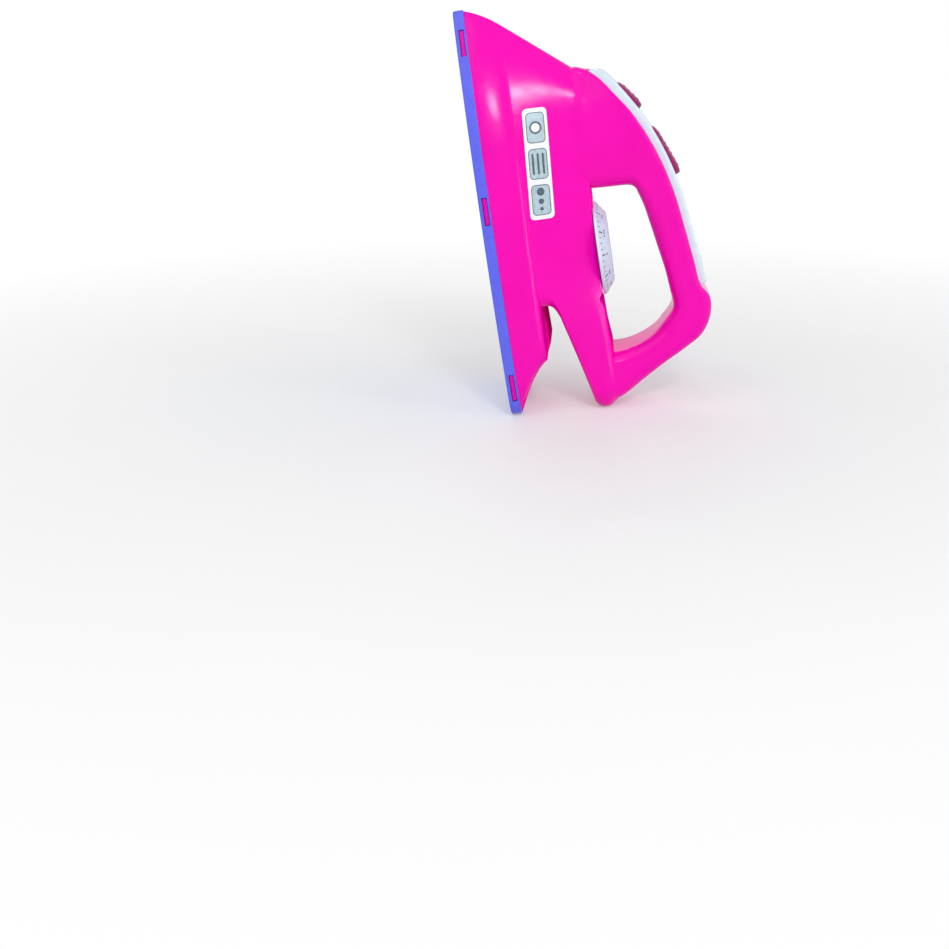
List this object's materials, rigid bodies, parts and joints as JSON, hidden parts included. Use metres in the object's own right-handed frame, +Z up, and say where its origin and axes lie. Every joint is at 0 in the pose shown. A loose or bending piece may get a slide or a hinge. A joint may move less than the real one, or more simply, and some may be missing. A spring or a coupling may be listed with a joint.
{
  "type": "toy iron",
  "caption": "Toy clothes iron standing on its heel, with an open grip, push buttons on a cover strip, a turning dial and a pointed sole plate.",
  "frame": {"origin": "middle of the bounding box at floor level, with the iron standing on its heel", "axes": "+Z up, from the heel to the toe; +X from the sole toward the handle; +Y across the iron, to its right-hand side"},
  "size_m": [0.1, 0.06, 0.1487],
  "materials": {
    "body": "glossy moulded plastic",
    "sole": "glossy moulded plastic",
    "strip": "glossy moulded plastic",
    "button": "glossy tinted plastic",
    "dial": "satin translucent plastic",
    "steel": "bright plated steel",
    "circuit_board": "coated board",
    "black_plastic": "matt",
    "white_plastic": "matt moulded plastic",
    "clear_plastic": "clear cast resin",
    "sticker": "printed vinyl film",
    "cell": "printed sleeve",
    "speaker_metal": "pressed steel",
    "red_lead": "soft sleeve",
    "black_lead": "soft sleeve",
    "orange_lead": "soft sleeve",
    "green_lead": "soft sleeve",
    "yellow_lead": "soft sleeve"
  },
  "bodies": {
    "iron": {"left_shell": "body", "right_shell": "body", "soleplate": "sole", "battery_door": "sole", "handle_strip": "strip", "front_button_spring": "steel", "rear_button_spring": "steel", "click_spring": "steel", "shell_screws": "steel", "cell_springs": "steel", "cell_contacts": "steel", "battery_door_screw": "steel", "board_screws": "steel", "front_switch_board": "circuit_board", "rear_switch_board": "circuit_board", "main_board": "circuit_board", "front_switch": "black_plastic", "rear_switch": "black_plastic", "sound_chip": "black_plastic", "capacitor": "black_plastic", "speaker_cone": "black_plastic", "battery_box": "white_plastic", "indicator_lamp": "clear_plastic", "left_sticker": "sticker", "right_sticker": "sticker", "battery_cells": "cell", "speaker_frame": "speaker_metal", "positive_wire": "red_lead", "negative_wire": "black_lead", "front_switch_wire": "orange_lead", "rear_switch_wire": "green_lead", "speaker_wire": "yellow_lead"},
    "dial": {"temperature_dial": "dial", "dial_retainer": "white_plastic"},
    "front_button": {"front_button": "button"},
    "rear_button": {"rear_button": "button"}
  },
  "joints": [
    {"name": "dial_turn", "type": "hinge", "parent": "iron", "child": "dial", "pos_m": [0.006, 0, 0.06056], "axis": [0.9866, 0, 0.1631], "continuous": true},
    {"name": "front_button_press", "type": "slide", "parent": "iron", "child": "front_button", "axis": [-0.725, 0, -0.6887], "range_m": [0, 0.0014], "stiffness_N_per_m": 300, "springref_m": -0.0005, "deforming": ["front_button_spring"]},
    {"name": "rear_button_press", "type": "slide", "parent": "iron", "child": "rear_button", "axis": [-0.8671, 0, -0.4982], "range_m": [0, 0.0014], "stiffness_N_per_m": 300, "springref_m": -0.0005, "deforming": ["rear_button_spring"]}
  ]
}
